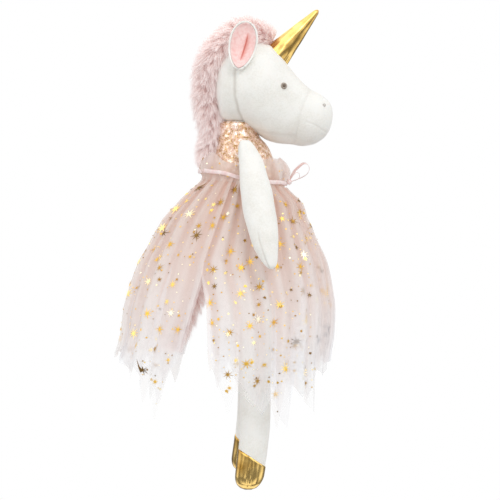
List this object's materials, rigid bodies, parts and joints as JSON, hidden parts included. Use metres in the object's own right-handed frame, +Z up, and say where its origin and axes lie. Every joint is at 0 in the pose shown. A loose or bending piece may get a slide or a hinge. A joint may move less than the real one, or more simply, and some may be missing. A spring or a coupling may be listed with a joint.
{
  "type": "plush unicorn",
  "caption": "Upright plush unicorn doll with jointed head, ears, arms and legs, gold horn and hooves, fur mane and tail, and a layered star-print tulle dress.",
  "frame": {"origin": "middle of the waist at the ribbon, where a hand or a doll stand's clip holds the doll", "axes": "+Z up along the doll's height, +X the way the doll faces, +Y to its left"},
  "size_m": [0.2355, 0.1852, 0.5039],
  "materials": {
    "white_plush": "matte",
    "pink_velour": "matte",
    "pink_fur": "matte",
    "star_tulle": "satin",
    "plain_tulle": "satin",
    "gold_foil_cloth": "gloss",
    "polyester_filling": "matte",
    "thread": "matte",
    "washer_plastic": "matte",
    "eye_plastic": "gloss",
    "printed_bodice": "satin",
    "peach_cotton": "matte",
    "satin_ribbon": "satin"
  },
  "bodies": {
    "torso": {"bodice": "printed_bodice", "bow_knot": "satin_ribbon", "bow_loop_left": "satin_ribbon", "bow_loop_right": "satin_ribbon", "mane_back": "pink_fur", "plain_tulle_back": "plain_tulle", "plain_tulle_left": "plain_tulle", "plain_tulle_right": "plain_tulle", "star_tulle_back": "star_tulle", "star_tulle_left": "star_tulle", "star_tulle_right": "star_tulle", "torso_shell": "peach_cotton", "torso_stuffing": "polyester_filling", "waist_ribbon": "satin_ribbon", "waist_ruffle": "star_tulle"},
    "neck_seam": {"neck_seam": "thread"},
    "head": {"cheek_panel_left": "white_plush", "cheek_panel_right": "white_plush", "chin_gusset": "white_plush", "eye_left": "eye_plastic", "eye_right": "eye_plastic", "eye_washer_left": "washer_plastic", "eye_washer_right": "washer_plastic", "head_stuffing": "polyester_filling", "horn_shell": "gold_foil_cloth", "horn_stuffing": "polyester_filling", "mane_head": "pink_fur", "muzzle_panel": "white_plush", "nape_panel": "white_plush"},
    "tail": {"tail_core": "pink_velour", "tail_fur": "pink_fur"},
    "ear_right": {"ear_outer_right": "white_plush", "ear_lining_right": "pink_velour"},
    "shoulder_seam_right": {"shoulder_seam_right": "thread"},
    "arm_right": {"arm_shell_right": "white_plush", "arm_stuffing_right": "polyester_filling"},
    "hip_seam_right": {"hip_seam_right": "thread"},
    "leg_right": {"leg_shell_right": "white_plush", "leg_stuffing_right": "polyester_filling", "hoof_right": "gold_foil_cloth"},
    "ear_left": {"ear_outer_left": "white_plush", "ear_lining_left": "pink_velour"},
    "shoulder_seam_left": {"shoulder_seam_left": "thread"},
    "arm_left": {"arm_shell_left": "white_plush", "arm_stuffing_left": "polyester_filling"},
    "hip_seam_left": {"hip_seam_left": "thread"},
    "leg_left": {"leg_shell_left": "white_plush", "leg_stuffing_left": "polyester_filling", "hoof_left": "gold_foil_cloth"}
  },
  "joints": [
    {"name": "head_turn", "type": "hinge", "parent": "torso", "child": "neck_seam", "pos_m": [-0.007, 0, 0.06], "axis": [0, 0, 1], "range_deg": [-40, 40], "deforming": ["mane_back"]},
    {"name": "head_nod", "type": "hinge", "parent": "neck_seam", "child": "head", "pos_m": [-0.007, 0, 0.06], "axis": [0, 1, 0], "range_deg": [-15, 4], "stiffness_Nm_per_rad": 1.6, "deforming": ["mane_back"]},
    {"name": "tail_swing", "type": "hinge", "parent": "torso", "child": "tail", "pos_m": [-0.034, 0, -0.072], "axis": [0, 1, 0], "range_deg": [-4, 45], "stiffness_Nm_per_rad": 0.15, "deforming": ["plain_tulle_back", "plain_tulle_left", "plain_tulle_right", "star_tulle_back", "star_tulle_left", "star_tulle_right"]},
    {"name": "ear_fold_right", "type": "hinge", "parent": "head", "child": "ear_right", "pos_m": [-0.006, -0.0345, 0.119], "axis": [1, 0, 0], "range_deg": [0, 40], "stiffness_Nm_per_rad": 0.01},
    {"name": "arm_swing_right", "type": "hinge", "parent": "torso", "child": "shoulder_seam_right", "pos_m": [0.003, -0.041, 0.031], "axis": [0, -1, 0], "range_deg": [-35, 120], "deforming": ["waist_ruffle"]},
    {"name": "arm_raise_right", "type": "hinge", "parent": "shoulder_seam_right", "child": "arm_right", "pos_m": [0.003, -0.041, 0.031], "axis": [-1, 0, 0], "range_deg": [0, 70], "deforming": ["waist_ruffle"]},
    {"name": "leg_swing_right", "type": "hinge", "parent": "torso", "child": "hip_seam_right", "pos_m": [0.012, -0.02, -0.124], "axis": [0, -1, 0], "range_deg": [-20, 95], "deforming": ["plain_tulle_back", "plain_tulle_left", "plain_tulle_right", "star_tulle_back", "star_tulle_left", "star_tulle_right"]},
    {"name": "leg_splay_right", "type": "hinge", "parent": "hip_seam_right", "child": "leg_right", "pos_m": [0.012, -0.02, -0.124], "axis": [-1, 0, 0], "range_deg": [-4, 30], "deforming": ["plain_tulle_back", "plain_tulle_left", "plain_tulle_right", "star_tulle_back", "star_tulle_left", "star_tulle_right"]},
    {"name": "ear_fold_left", "type": "hinge", "parent": "head", "child": "ear_left", "pos_m": [-0.006, 0.0345, 0.119], "axis": [-1, 0, 0], "range_deg": [0, 40], "stiffness_Nm_per_rad": 0.01},
    {"name": "arm_swing_left", "type": "hinge", "parent": "torso", "child": "shoulder_seam_left", "pos_m": [0.003, 0.041, 0.031], "axis": [0, -1, 0], "range_deg": [-35, 120], "deforming": ["waist_ruffle"]},
    {"name": "arm_raise_left", "type": "hinge", "parent": "shoulder_seam_left", "child": "arm_left", "pos_m": [0.003, 0.041, 0.031], "axis": [1, 0, 0], "range_deg": [0, 70], "deforming": ["waist_ruffle"]},
    {"name": "leg_swing_left", "type": "hinge", "parent": "torso", "child": "hip_seam_left", "pos_m": [0.012, 0.02, -0.124], "axis": [0, -1, 0], "range_deg": [-20, 95], "deforming": ["plain_tulle_back", "plain_tulle_left", "plain_tulle_right", "star_tulle_back", "star_tulle_left", "star_tulle_right"]},
    {"name": "leg_splay_left", "type": "hinge", "parent": "hip_seam_left", "child": "leg_left", "pos_m": [0.012, 0.02, -0.124], "axis": [1, 0, 0], "range_deg": [-13, 21], "deforming": ["plain_tulle_back", "plain_tulle_left", "plain_tulle_right", "star_tulle_back", "star_tulle_left", "star_tulle_right"]}
  ]
}
